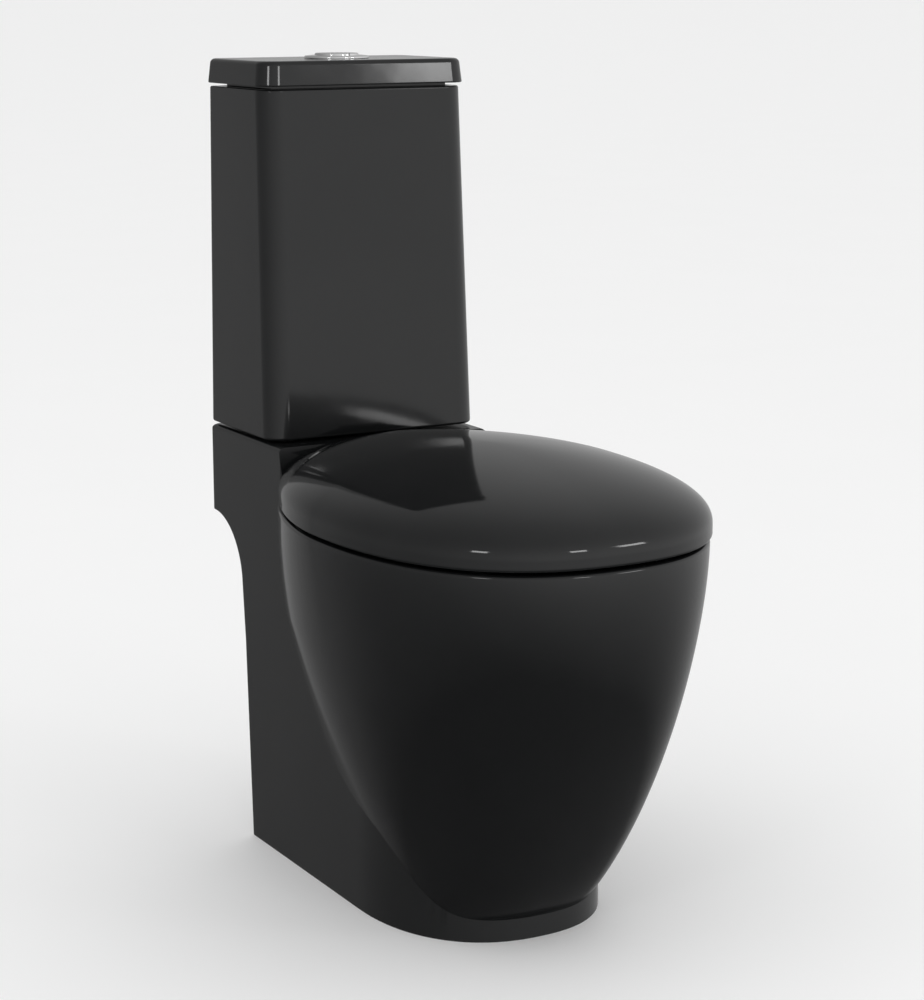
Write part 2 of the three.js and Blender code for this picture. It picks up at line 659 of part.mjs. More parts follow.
// ---- flush button ----
function bezelSolid() {
  const flange = LID_TOP + GAP;
  return turned([
    [BEZEL_BORE_R, BEZEL_BOTTOM], [BEZEL_COLLAR_R, BEZEL_BOTTOM], [BEZEL_COLLAR_R, flange],
    [BEZEL_FLANGE_R, flange],
    [BEZEL_FLANGE_R, flange + 0.8], [BEZEL_FLANGE_R - 1.5, flange + 2], [BEZEL_BORE_R + 2, flange + 3],
    [BEZEL_BORE_R, flange + 2.6],
  ], 0, VALVE_Y, 28);
}

function buttonSolid(keepLeft, rodX, rodY) {
  const cap = turned([
    [0, BUTTON_BOTTOM], [BUTTON_R, BUTTON_BOTTOM], [BUTTON_R, BUTTON_TOP - 1.5],
    [BUTTON_R - 1, BUTTON_TOP - 0.5],
    [BUTTON_R - 3, BUTTON_TOP], [0, BUTTON_TOP],
  ], 0, VALVE_Y, 28);
  const half = keepLeft
    ? box(-40, BUTTON_SPLIT_X - 0.4, VALVE_Y - 40, VALVE_Y + 40, 800, 830)
    : box(BUTTON_SPLIT_X + 0.4, 40, VALVE_Y - 40, VALVE_Y + 40, 800, 830);
  return join(cap.intersect(half), bar(ROD_R, rodX, rodY, ROD_BOTTOM, BUTTON_BOTTOM + 1.5 - ROD_BOTTOM, 10));
}

function buttonParts() {
  const collarNut = nut(BEZEL_COLLAR_R + GAP, 32, 0, VALVE_Y, 796, LID_TOP - LID_PLATE - GAP, 12);
  return [
    piece('button_bezel', bezelSolid(), chrome()),
    piece('full_flush_button', buttonSolid(true, -ROD_X, VALVE_Y + LEVER_OFFSET), chrome()),
    piece('half_flush_button', buttonSolid(false, ROD_X, VALVE_Y - LEVER_OFFSET), chrome()),
    piece('button_collar_nut', collarNut, whitePlastic()),
  ];
}

// ---- flush valve ----
function flushBase() {
  const body = turned([
    [23, 400], [27, 400], [27, 452.6], [39, 452.6], [39, 457.6], [27, 457.6], [27, 461], [23, 461],
  ], 0, VALVE_Y, 24);
  const legs = [0, 1].flatMap((across) => [-1, 1].map((side) => {
    const near = side > 0 ? 31 : -35;
    return across
      ? box(near, near + 4, VALVE_Y - 4, VALVE_Y + 4, 456, 503)
      : box(-4, 4, VALVE_Y + near, VALVE_Y + near + 4, 456, 503);
  }));
  return join(body, ...legs, tube(TOWER_R, 36, 0, VALVE_Y, 500, 508, 24));
}

function towerSolid() {
  const shell = tube(TOWER_R, 33, 0, VALVE_Y, 508.3, 745, 24);
  const windows = [530, 620].map((z) => box(-14, 14, VALVE_Y - 40, VALVE_Y + 40, z, z + 70));
  const stubs = [
    bar(2, -LEVER_PIVOT, VALVE_Y + 10.2, LEVER_Z, 21, 12, 'y'),
    bar(2, LEVER_PIVOT, VALVE_Y - 31.2, LEVER_Z, 21, 12, 'y'),
  ];
  return join(cut(shell, ...windows), ...stubs);
}

// side is -1 for the lever under the full flush rod and 1 for the half flush rod
function flushLever(side) {
  const y = VALVE_Y - side * LEVER_OFFSET;
  const rodEnd = side * (ROD_X + 4);
  const liftEnd = -side * 23;
  const [x0, x1] = [Math.min(rodEnd, liftEnd), Math.max(rodEnd, liftEnd)];
  const arm = box(x0, x1, y - 2.2, y + 2.2, LEVER_Z - 2, LEVER_Z + 2);
  const boss = bar(4, side * LEVER_PIVOT, y - 2.2, LEVER_Z, 4.4, 16, 'y');
  return cut(join(arm, boss), bar(2.3, side * LEVER_PIVOT, y - 4, LEVER_Z, 8, 12, 'y'));
}

function overflowTube() {
  const body = turned([
    [11, 464.6], [28, 464.6], [28, 467.6], [14, 470], [14, 700], [9, 708], [9, 762], [7, 762],
    [7, 706], [11, 698],
  ], 0, VALVE_Y, 18);
  const fullLug = box(8, 24, VALVE_Y + 11, VALVE_Y + 15, 741.6, 745);
  const halfLug = box(-24, -8, VALVE_Y - 15, VALVE_Y - 11, 757.5, 761);
  const bridges = [
    box(5, 12, VALVE_Y + 5, VALVE_Y + 13, 741.6, 745),
    box(-12, -5, VALVE_Y - 13, VALVE_Y - 5, 757.5, 761),
  ];
  return join(body, fullLug, halfLug, cut(join(...bridges), bar(8, 0, VALVE_Y, 730, 40, 18)));
}

function flushValveParts() {
  const doughnut = turned(
    [[27.8, 403], [33, 403], [39.2, 410], [39.2, 424.7], [27.8, 424.7]], 0, VALVE_Y, 24,
  );
  return [
    piece('flush_valve_base', flushBase(), whitePlastic()),
    piece('flush_valve_tower', towerSolid(), whitePlastic()),
    piece('overflow_tube', overflowTube(), bluePlastic()),
    piece('flush_seal', tube(11.5, 29, 0, VALVE_Y, 461.3, 464.3, 20), rubber()),
    piece('full_flush_lever', flushLever(-1), greyPlastic()),
    piece('half_flush_lever', flushLever(1), greyPlastic()),
    piece('flush_valve_washer', tube(28.8, 40, 0, VALVE_Y, TANK_FLOOR_TOP + GAP, 452.3, 20), rubber()),
    piece('flush_valve_backnut', nut(27.5, 36, 0, VALVE_Y, 425, TANK_BOTTOM - GAP, 12), whitePlastic()),
    piece('coupling_doughnut', doughnut, rubber()),
  ];
}

// ---- cistern bolts ----
function cisternBolt(x) {
  return join(bar(4, x, BOLT_Y, 384, 70, 14), turned(
    [[0, 453], [10, 453], [10, 455], [7, 457.5], [0, 457.5]], x, BOLT_Y, 18,
  ));
}

function wingNut(x) {
  const wings = [-1, 1].map((side) => {
    const x0 = side > 0 ? x + 7 : x - 17;
    return box(x0, x0 + 10, BOLT_Y - 1.6, BOLT_Y + 1.6, 399, 410);
  });
  return cut(join(bar(9, x, BOLT_Y, 401, 10.7, 16), ...wings), bar(4.3, x, BOLT_Y, 390, 30, 14));
}

function cisternBoltParts() {
  return [[-BOLT_X, 'left'], [BOLT_X, 'right']].flatMap(([x, word]) => [
    piece(`cistern_bolt_${word}`, cisternBolt(x), steel()),
    piece(`cistern_bolt_seal_${word}`, tube(4.3, 14, x, BOLT_Y, TANK_FLOOR_TOP + GAP, 452.7, 18), rubber()),
    piece(`cistern_bolt_washer_${word}`, tube(4.3, 13, x, BOLT_Y, 412, RECESS_TOP - GAP, 18), steel()),
    piece(`cistern_wing_nut_${word}`, wingNut(x), steel()),
  ]);
}

// ---- fill valve ----
const FLOAT_PIVOT_Y = FILL_Y - 21.5;
const FLOAT_PIVOT_Z = 716;
const FLOAT_ARM = 28;

function fillBody() {
  return turned([
    [5, 386], [10.5, 386], [10.5, 452.6], [17, 452.6], [17, 456.5], [8, 461], [8, 700], [5, 700],
  ], FILL_X, FILL_Y, 20);
}

function fillHead() {
  const cap = turned([
    [0, 700.3], [13, 700.3], [16, 703], [16, 730], [12, 735], [0, 735],
  ], FILL_X, FILL_Y, 20);
  const cheek = box(FILL_X - 8, FILL_X - 3, FLOAT_PIVOT_Y - 5, FILL_Y - 8, 710, 722);
  return join(cap, cheek, bar(2, FILL_X - 4, FLOAT_PIVOT_Y, FLOAT_PIVOT_Z, 8, 12, 'x'));
}

function fillFloat() {
  const cup = turned([[8.8, 600], [24, 600], [24, 646], [20, 650], [8.8, 650]], FILL_X, FILL_Y, 18);
  const linkY = FLOAT_PIVOT_Y - FLOAT_ARM;
  const bracket = box(FILL_X - 3, FILL_X + 3, linkY - 3, FILL_Y - 15, 643, 648);
  return join(cup, bracket, bar(1.8, FILL_X, linkY, 645, 67, 10));
}

function floatLever() {
  const arm = box(FILL_X - 2.4, FILL_X + 2.4, FLOAT_PIVOT_Y - 32, FLOAT_PIVOT_Y,
    FLOAT_PIVOT_Z - 2, FLOAT_PIVOT_Z + 2);
  const boss = bar(4, FILL_X - 2.4, FLOAT_PIVOT_Y, FLOAT_PIVOT_Z, 4.8, 16, 'x');
  return cut(join(arm, boss), bar(2.3, FILL_X - 6, FLOAT_PIVOT_Y, FLOAT_PIVOT_Z, 12, 12, 'x'));
}

function fillValveParts() {
  return [
    piece('fill_valve_body', fillBody(), whitePlastic()),
    piece('fill_valve_head', fillHead(), bluePlastic()),
    piece('fill_valve_float', fillFloat(), greyPlastic()),
    piece('float_lever', floatLever(), greyPlastic()),
    piece('fill_valve_washer', tube(10.9, 18, FILL_X, FILL_Y, TANK_FLOOR_TOP + GAP, 452.3, 20), rubber()),
    piece('fill_valve_backnut', nut(10.9, 17, FILL_X, FILL_Y, 425, TANK_BOTTOM - GAP, 6), whitePlastic()),
  ];
}

// ---- the whole toilet ----
const toilet = new THREE.Group();
toilet.add(
  piece('pan', panSolid(), glaze()),
  piece('cistern', tankSolid(), glaze()),
  piece('cistern_lid', lidSolid(), glaze()),
  ...seatParts(),
  ...buttonParts(),
  ...flushValveParts(),
  ...cisternBoltParts(),
  ...fillValveParts(),
);
toilet.position.y = OVERALL_DEPTH / 2;

export default toilet;
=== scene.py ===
import json
import math

import bpy
import numpy as np
from mathutils import Matrix, Vector


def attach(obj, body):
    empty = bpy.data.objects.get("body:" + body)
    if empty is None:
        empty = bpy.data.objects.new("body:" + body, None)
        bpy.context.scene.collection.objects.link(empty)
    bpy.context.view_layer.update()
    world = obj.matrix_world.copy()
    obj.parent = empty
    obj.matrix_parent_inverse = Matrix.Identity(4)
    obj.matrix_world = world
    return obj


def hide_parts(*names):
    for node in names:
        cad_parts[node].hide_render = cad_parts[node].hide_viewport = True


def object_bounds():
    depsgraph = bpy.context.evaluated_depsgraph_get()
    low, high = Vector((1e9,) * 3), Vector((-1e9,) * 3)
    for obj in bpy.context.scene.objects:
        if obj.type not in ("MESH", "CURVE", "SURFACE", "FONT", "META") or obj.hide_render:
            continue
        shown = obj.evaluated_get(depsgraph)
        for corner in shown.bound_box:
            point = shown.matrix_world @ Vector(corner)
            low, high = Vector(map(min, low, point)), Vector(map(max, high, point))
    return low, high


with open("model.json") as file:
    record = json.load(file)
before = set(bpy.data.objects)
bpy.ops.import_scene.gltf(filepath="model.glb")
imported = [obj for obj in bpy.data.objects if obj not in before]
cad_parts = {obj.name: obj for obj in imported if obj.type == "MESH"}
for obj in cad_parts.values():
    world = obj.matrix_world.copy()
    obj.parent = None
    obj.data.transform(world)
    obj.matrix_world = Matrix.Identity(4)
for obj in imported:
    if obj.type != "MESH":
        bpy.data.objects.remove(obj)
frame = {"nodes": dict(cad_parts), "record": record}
cad_low, cad_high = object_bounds()

MM = 0.001
WALL_Y = cad_high.y
NODE_SLOTS = {part["node"]: part["material_slot"] for part in frame["record"]["subparts"]}

# ---- camera ----
CAMERA_PLACE = (-1.15198, -2.10851, 0.89347)
CAMERA_YAW = math.radians(28.908)
CAMERA_PITCH = math.radians(11.733)
CAMERA_ROLL = math.radians(-0.125)
CAMERA_LENS = 89.63


def make_camera():
    data = bpy.data.cameras.new("camera")
    data.lens = CAMERA_LENS
    data.clip_end = 600
    camera = bpy.data.objects.new("camera", data)
    aim = Matrix.Rotation(-CAMERA_YAW, 4, "Z") @ Matrix.Rotation(math.pi / 2 - CAMERA_PITCH, 4, "X")
    camera.matrix_world = Matrix.Translation(CAMERA_PLACE) @ aim @ Matrix.Rotation(CAMERA_ROLL, 4, "Z")
    bpy.context.collection.objects.link(camera)
    bpy.context.scene.camera = camera


make_camera()

# ---- driving dimensions, millimetres ----
RIM_Z = 388.4
RIM_ROUND = 3.5
BOWL_HALF_WIDTH = 184.6
BOWL_CENTRE_Y = -380.7
BOWL_CENTRE_SHIFT = -30
BOWL_FRONT = 249.5
BOWL_REAR = 300
BOWL_POWER_FRONT = 2.3
BOWL_POWER_REAR = 1.7
BOWL_POWER_GROWTH = 0.26
BOWL_POWER_DEPTH = 110
SIDE_REACH, SIDE_POWER = 512, 1.4
FRONT_REACH, FRONT_POWER = 413, 1.59
REAR_REACH, REAR_POWER = 389.5, 2.5

SLAB_HALF_WIDTH = 119.7
SLAB_NOSE_Y = -339
SLAB_NOSE = 152.5
SLAB_NOSE_POWER = 2.3
DECK_TOP = 434
DECK_FRONT = -172
DECK_UNDER = 343
DECK_ROUND = 6
DECK_LIP_Z = 398  # the deck's front face leans back from here to its top
DECK_CORNER = 8
SLAB_FRONT, SLAB_FRONT_TOP = -520, 370  # hidden inside the bowl
SLAB_BACK_EDGE = 4
BACK_CURVE, BACK_CURVE_R = (-5, 271), 70  # hollow curve under the deck's back
BACK_KNEE, BACK_FOOT = (-80.5, 215), (-91, 0)

OPENING_HALF_WIDTH = 127
OPENING_HALF_LENGTH = 152
OPENING_CENTRE_Y = -424
OPENING_POWER = 2.15
MOUTH_STEP = 4  # the mouth is this much narrower than the opening's lip
LIP_DEPTH = 8
# the well under the rim, as rows of height, half width, front, rear and centre
WELL = [
    (104, 34, 44, 44, -392),
    (114, 48, 60, 58, -396),
    (150, 62, 80, 76, -402),
    (200, 82, 108, 104, -410),
    (255, 106, 136, 132, -417),
    (305, 123, 154, 148, -421),
    (338, 132, 160, 156, -424),
]
RECESS_HALF_WIDTH = 106
RECESS_FRONT = -163
RECESS_TOP = 414
DUCT_HALF_WIDTH = 51
DUCT_BOTTOM = 384
OUTLET_Z = 182
OUTLET_END_Y = -42
OUTLET_R = 51
TRAP_BORE_R = 39
SOCKET_R = 40
VALVE_Y = -71
BOLT_X, BOLT_Y = 72, -100
FILL_X, FILL_Y = 78, -42
BOLT_HOLE_R, HINGE_HOLE_R, FILL_HOLE_R = 6.5, 8.4, 21
FIXING_X, FIXING_R = 92, 4.5
LUG_NEAR, LUG_FAR, LUG_LENGTH, LUG_HEIGHT = 76, 108, 34, 14
CHANNEL_R = 12
TRAP_ROUTE = [
    (0, -392, 128),
    (0, -340, 150),
    (0, -290, 216),
    (0, -240, 222),
    (0, -200, 192),
    (0, -150, OUTLET_Z),
    (0, OUTLET_END_Y + 6, OUTLET_Z),
]
CHANNEL_ROUTE = [(0, VALVE_Y, 400), (0, -130, 398), (0, -210, 372), (0, -285, 352)]
# the hollow under the foot, as rows of height, half width, front and rear
UNDERSIDE = [(-1, 102, 178, 96), (60, 98, 174, 94), (84, 86, 150, 84)]
UNDERSIDE_Y = -292

TANK_BOTTOM, TANK_TOP = 437, 789.5
TANK_WALL, TANK_FLOOR = 9, 12
TANK_BOTTOM_HALF, TANK_TOP_HALF = 119.7, 114.6
TANK_BOTTOM_DEPTH, TANK_TOP_DEPTH = 155.5, 140
TANK_FRONT_ROUND, TANK_BACK_ROUND = 22, 8
TANK_EDGE, TANK_RIM_EDGE = 3, 2
TANK_VALVE_HOLE_R, TANK_FILL_HOLE_R, TANK_BOLT_HOLE_R = 28.5, 12, 6
LID_BOTTOM, LID_TOP = 792.8, 817.6
LID_HALF, LID_DEPTH = 116.6, 142.6
LID_PLATE = 11
LID_ROUND, LID_DRAFT, LID_FOOT = 5, 2, 1.5

HINGE_Y, HINGE_Z, HINGE_X = -210, 418, 77.5
PIN_R, GAP = 4, 0.3
RING_BOTTOM, RING_TOP, RING_REAR = 392, 410, -237
RING_SIZES = (176.5, 242.5, 270)  # half width, front and rear
RING_HOLE = (111, 138, 140)
RING_EDGE = 2
EAR_R = 9
RING_EAR_X, RING_EAR_WIDTH = 48, 14
COVER_EAR_X, COVER_EAR_WIDTH = 95, 13
BUFFER_X, BUFFER_Y, BUFFER_R = 92, -548, 6
COVER_BOTTOM, COVER_SHOULDER, COVER_CROWN = 391.5, 403, 61
COVER_CROWN_POWER, COVER_EDGE_POWER = 1.6, 2.3
COVER_HALF_WIDTH, COVER_CENTRE_Y = 184, -380
COVER_FRONT, COVER_REAR = 250, 298
COVER_POWER_FRONT, COVER_POWER_REAR = 2.4, 1.7
COVER_EDGE_ROUND = 3
COVER_REAR_DROP, COVER_WALL = 5, 5
COVER_REAR_Y, COVER_SWING_R = -181.5, 33
NOTCH_INNER_X, NOTCH_OUTER_X, NOTCH_TOP = 46, 94, 432.5

BUTTON_R, BUTTON_TOP, BUTTON_SPLIT_X = 22.6, 823, 4
BUTTON_BOTTOM, BUTTON_EDGE = 812, 1.4
BEZEL_BOTTOM = 787
ROD_X, ROD_R, ROD_BOTTOM, ROD_LENGTH = 15, 2.2, 741.5, 72
LEVER_OFFSET = 13
BEZEL_BORE_R, BEZEL_COLLAR_R, BEZEL_FLANGE_R = 23, 26, 33.5


# ---- meshes ----
def solid(name, points, faces):
    """A closed mesh from points in millimetres and faces that point out."""
    placed = np.asarray(points, float).reshape(-1, 3) * MM
    placed[:, 1] += WALL_Y
    mesh = bpy.data.meshes.new(name)
    mesh.from_pydata(placed.tolist(), [], faces)
    mesh.update()
    made = bpy.data.objects.new(name, mesh)
    bpy.context.collection.objects.link(made)
    return made


def loft(name, rings):
    """Joins a stack of rings of equal count, the lowest first and each counter-clockwise from above."""
    rings = np.asarray(rings, float)
    levels, count = rings.shape[:2]
    faces = []
    for level in range(levels - 1):
        for i in range(count):
            a = level * count + i
            b = level * count + (i + 1) % count
            faces.append((a, b, b + count, a + count))
    faces.append(tuple(range(count - 1, -1, -1)))
    faces.append(tuple(range((levels - 1) * count, levels * count)))
    return solid(name, rings, faces)


def prism(name, outline, low, high, across):
    """An outline of two coordinates extruded along the axis named by across, x or z."""
    outline = np.asarray(outline, float)
    count = len(outline)
    flat = {"x": (1, 2, 0), "z": (0, 1, 2)}[across]
    points = np.zeros((2, count, 3))
    for layer, height in enumerate((low, high)):
        points[layer, :, flat[0]] = outline[:, 0]
        points[layer, :, flat[1]] = outline[:, 1]
        points[layer, :, flat[2]] = height
    turn = np.roll(outline, -1, axis=0)
    area = np.sum(outline[:, 0] * turn[:, 1] - turn[:, 0] * outline[:, 1])
    if area < 0:
        points = points[:, ::-1]
    return loft(name, points)


def block(name, x, y, z):
    (x0, x1), (y0, y1), (z0, z1) = x, y, z
    return prism(name, [(x0, y0), (x1, y0), (x1, y1), (x0, y1)], z0, z1, "z")


def circle(radius, count):
    turn = np.arange(count) / count * 2 * math.pi
    return np.stack([radius * np.cos(turn), radius * np.sin(turn)], 1)


def bar(name, radius, place, length, axis="z", count=48):
    """A round bar from place along z, x or y."""
    x, y, z = place
    round_outline = circle(radius, count)
    if axis == "z":
        return prism(name, round_outline + (x, y), z, z + length, "z")
    if axis == "x":
        return prism(name, round_outline + (y, z), x, x + length, "x")
    rings = [[(x + u, y + along, z - v) for u, v in round_outline] for along in (0, length)]
    return loft(name, rings)


def turned(name, outline, x, y, count=64):
    """A turned ring or plug about a vertical axis, from a closed outline of radius and height."""
    outline = [tuple(map(float, point)) for point in outline]
    turn = np.arange(count) / count * 2 * math.pi
    points = []
    first = []
    for radius, height in outline:
        first.append(len(points))
        if radius == 0:
            points.append((x, y, height))
        else:
            points.extend((x + radius * math.cos(t), y + radius * math.sin(t), height) for t in turn)
    faces = []
    for k, (radius, height) in enumerate(outline):
        n = (k + 1) % len(outline)
        a, b = first[k], first[n]
        after = outline[n][0]
        for i in range(count):
            j = (i + 1) % count
            if radius == 0 and after == 0:
                continue
            if radius == 0:
                faces.append((a, b + j, b + i))
            elif after == 0:
                faces.append((a + i, a + j, b))
            else:
                faces.append((a + i, a + j, b + j, b + i))
    return solid(name, points, faces)


def combine(body, tool, operation):
    """Cuts, joins or intersects body with tool, and drops the tool."""
    modifier = body.modifiers.new("boolean", "BOOLEAN")
    modifier.operation = operation
    modifier.solver = "EXACT"
    modifier.object = tool
    bpy.context.view_layer.update()
    made = bpy.data.meshes.new_from_object(body.evaluated_get(bpy.context.evaluated_depsgraph_get()))
    body.modifiers.clear()
    body.data = made
    bpy.data.objects.remove(tool)
    return body


def join(body, *tools):
    for tool in tools:
        combine(body, tool, "UNION")
    return body


def cut(body, *tools):
    for tool in tools:
        combine(body, tool, "DIFFERENCE")
    return body


def keep(body, *tools):
    for tool in tools:
        combine(body, tool, "INTERSECT")
    return body


def arc(centre, radius, start, end, steps):
    """Points of an arc from start to end degrees."""
    turns = np.radians(np.linspace(start, end, steps + 1))
    return [(centre[0] + radius * math.cos(t), centre[1] + radius * math.sin(t)) for t in turns]


def signed_power(value, power):
    return np.sign(value) * np.abs(value) ** power


def egg(z, half_width, front, rear, centre_y, power_front, power_rear, count):
    """One superellipse in front of the centre and another behind it."""
    turn = np.arange(count) / count * 2 * math.pi
    behind = np.sin(turn) > 0
    power = 2 / np.where(behind, power_rear, power_front)
    x = half_width * signed_power(np.cos(turn), power)
    y = centre_y + np.where(behind, rear, front) * signed_power(np.sin(turn), power)
    return np.stack([x, y, np.full(count, float(z))], 1)


def rounded_rectangle(z, half, y_front, y_back, round_front, round_back, steps):
    corners = [
        (half - round_back, y_back - round_back, round_back, 0),
        (-half + round_back, y_back - round_back, round_back, 90),
        (-half + round_front, y_front + round_front, round_front, 180),
        (half - round_front, y_front + round_front, round_front, 270),
    ]
    points = []
    for x, y, radius, start in corners:
        points += [(px, py, z) for px, py in arc((x, y), radius, start, start + 90, steps)]
    return np.array(points)


def smooth_rows(rows, steps):
    """A table of rows made finer by a smooth curve through them."""
    rows = np.asarray(rows, float)
    padded = np.vstack([2 * rows[0] - rows[1], rows, 2 * rows[-1] - rows[-2]])
    out = []
    for k in range(1, len(padded) - 2):
        a, b, c, d = padded[k - 1 : k + 3]
        for t in np.arange(steps) / steps:
            out.append(
                b + 0.5 * t * (c - a + t * (2 * a - 5 * b + 4 * c - d + t * (3 * (b - c) + d - a)))
            )
    out.append(rows[-1])
    return np.array(out)


def passage(name, route, radius, steps, count=40):
    """A round passage along a smooth route that lies in the middle plane."""
    line = smooth_rows(route, steps)
    along = np.gradient(line, axis=0)
    along /= np.linalg.norm(along, axis=1)[:, None]
    side = np.array([1.0, 0.0, 0.0])
    rings = []
    for point, way in zip(line, along, strict=True):
        up = np.cross(way, side)
        rings.append([point + u * side + v * up for u, v in circle(radius, count)])
    return loft(name, rings)


def finish_surface(piece, material, angle=32):
    """Smooth shading that keeps flats flat and edges sharper than the angle crisp."""
    mesh = piece.data
    mesh.polygons.foreach_set("use_smooth", [True] * len(mesh.polygons))
    mesh.set_sharp_from_angle(angle=math.radians(angle))
    weighted = piece.modifiers.new("flats", "WEIGHTED_NORMAL")
    weighted.keep_sharp = True
    mesh.materials.clear()
    mesh.materials.append(material)


def place(piece, body, node, material, angle=32):
    """Puts a finished piece on its body in place of its CAD node."""
    finish_surface(piece, material, angle)
    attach(piece, body)
    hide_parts(node)


# ---- materials ----
def nodes_of(name):
    material = bpy.data.materials.new(name)
    material.use_nodes = True
    tree = material.node_tree
    shader = tree.nodes["Principled BSDF"]
    coordinates = tree.nodes.new("ShaderNodeTexCoord")
    return material, tree, shader, coordinates.outputs["Object"]


def noise(tree, where, scale, detail=3.0, stretch=(1, 1, 1)):
    mapping = tree.nodes.new("ShaderNodeMapping")
    mapping.inputs["Scale"].default_value = stretch
    tree.links.new(where, mapping.inputs["Vector"])
    made = tree.nodes.new("ShaderNodeTexNoise")
    made.inputs["Scale"].default_value = scale
    made.inputs["Detail"].default_value = detail
    tree.links.new(mapping.outputs["Vector"], made.inputs["Vector"])
    return made.outputs["Fac"]


def spread(tree, value, low, high):
    made = tree.nodes.new("ShaderNodeMapRange")
    made.inputs["From Min"].default_value = 0.3
    made.inputs["From Max"].default_value = 0.7
    made.inputs["To Min"].default_value = low
    made.inputs["To Max"].default_value = high
    tree.links.new(value, made.inputs["Value"])
    return made.outputs["Result"]


def blend(tree, value, first, second):
    made = tree.nodes.new("ShaderNodeMix")
    made.data_type = "RGBA"
    made.inputs["A"].default_value = (*first, 1)
    made.inputs["B"].default_value = (*second, 1)
    tree.links.new(value, made.inputs["Factor"])
    return made.outputs["Result"]


def relief(tree, shader, value, distance, strength, under=None):
    made = tree.nodes.new("ShaderNodeBump")
    made.inputs["Distance"].default_value = distance
    made.inputs["Strength"].default_value = strength
    tree.links.new(value, made.inputs["Height"])
    if under is not None:
        tree.links.new(under, made.inputs["Normal"])
    tree.links.new(made.outputs["Normal"], shader.inputs["Normal"])
    return made.outputs["Normal"]


def material(name, colours, roughness, patch, grain, depth, metallic=0.0, stretch=(1, 1, 1)):
    """A surface with patches of two near colours, roughness that varies and a fine grain of relief."""
    made, tree, shader, where = nodes_of(name)
    patches = noise(tree, where, patch)
    tree.links.new(blend(tree, spread(tree, patches, 0, 1), *colours), shader.inputs["Base Color"])
    fine = noise(tree, where, grain, 2.0, stretch)
    tree.links.new(spread(tree, fine, *roughness), shader.inputs["Roughness"])
    relief(tree, shader, fine, depth, 1.0)
    shader.inputs["Metallic"].default_value = metallic
    return made


def grey(value, tint=0.0):
    return (value - tint, value, value + tint)


def glaze_material():
    """Black vitreous glaze: near black body, clear gloss, a slow orange peel and a few fine pin specks."""
    made, tree, shader, where = nodes_of("black_glaze")
    patches = spread(tree, noise(tree, where, 9.0), 0, 1)
    tint = blend(tree, patches, grey(0.0055, 0.0003), grey(0.0075, 0.0003))
    tree.links.new(tint, shader.inputs["Base Color"])
    tree.links.new(spread(tree, noise(tree, where, 30.0, 4.0), 0.085, 0.12), shader.inputs["Roughness"])
    slow = relief(tree, shader, noise(tree, where, 38.0, 1.0), 0.00006, 1.0)
    relief(tree, shader, noise(tree, where, 900.0, 2.0), 0.000004, 1.0, slow)
    shader.inputs["IOR"].default_value = 1.5
    return made


def seat_material():
    """Polished black thermoset: as dark as the glaze, a little sharper."""
    made, tree, shader, where = nodes_of("black_seat_plastic")
    patches = spread(tree, noise(tree, where, 14.0), 0, 1)
    tint = blend(tree, patches, grey(0.0065, 0.0003), grey(0.0085, 0.0003))
    tree.links.new(tint, shader.inputs["Base Color"])
    tree.links.new(spread(tree, noise(tree, where, 60.0, 4.0), 0.06, 0.085), shader.inputs["Roughness"])
    slow = relief(tree, shader, noise(tree, where, 26.0, 1.0), 0.00003, 1.0)
    relief(tree, shader, noise(tree, where, 1400.0, 2.0), 0.000003, 1.0, slow)
    shader.inputs["IOR"].default_value = 1.5
    return made


MATERIALS = {
    "black_glaze": glaze_material(),
    "black_seat_plastic": seat_material(),
    "chrome": material("chrome", (grey(0.78), grey(0.83)), (0.04, 0.09), 60, 500, 0.000004, 1.0),
    "steel": material("steel", (grey(0.5), grey(0.62)), (0.22, 0.4), 120, 700, 0.00002, 1.0, (1, 1, 9)),
    "black_rubber": material("black_rubber", (grey(0.018), grey(0.03)), (0.7, 0.9), 90, 1600, 0.00004),
    "pale_rubber": material(
        "pale_rubber", (grey(0.38, 0.01), grey(0.46, 0.01)), (0.6, 0.8), 90, 1500, 0.00003
    ),
    "white_plastic": material("white_plastic", (grey(0.74), grey(0.82)), (0.3, 0.46), 50, 1200, 0.00002),
    "blue_plastic": material(
        "blue_plastic", ((0.035, 0.13, 0.36), (0.05, 0.17, 0.43)), (0.32, 0.48), 50, 1200, 0.00002
    ),
    "grey_plastic": material(
        "grey_plastic", (grey(0.13, 0.01), grey(0.17, 0.01)), (0.36, 0.52), 50, 1200, 0.00002
    ),
}


# ---- pan ----
def shrink(depth, reach, power):
    """How much of its rim size the half egg keeps at a depth below the rim."""
    return (1 - (depth / reach) ** power) ** (1 / power)


def bowl_section(z, inset, count):
    depth = RIM_Z - z
    return egg(
        z,
        BOWL_HALF_WIDTH * shrink(depth, SIDE_REACH, SIDE_POWER) - inset,
        BOWL_FRONT * shrink(depth, FRONT_REACH, FRONT_POWER) - inset,
        BOWL_REAR * shrink(depth, REAR_REACH, REAR_POWER) - inset,
        BOWL_CENTRE_Y + BOWL_CENTRE_SHIFT * depth / RIM_Z,
        BOWL_POWER_FRONT,
        BOWL_POWER_REAR + BOWL_POWER_GROWTH * min(depth / BOWL_POWER_DEPTH, 1),
        count,
    )


def bowl_outside():
    count = 176
    walls = [bowl_section(z, 0, count) for z in np.linspace(6, RIM_Z - RIM_ROUND, 64)]
    for turn in np.radians(np.linspace(0, 90, 8)[1:]):
        z = RIM_Z - RIM_ROUND + RIM_ROUND * math.sin(turn)
        walls.append(bowl_section(z, RIM_ROUND * (1 - math.cos(turn)), count))
    return loft("pan", walls)


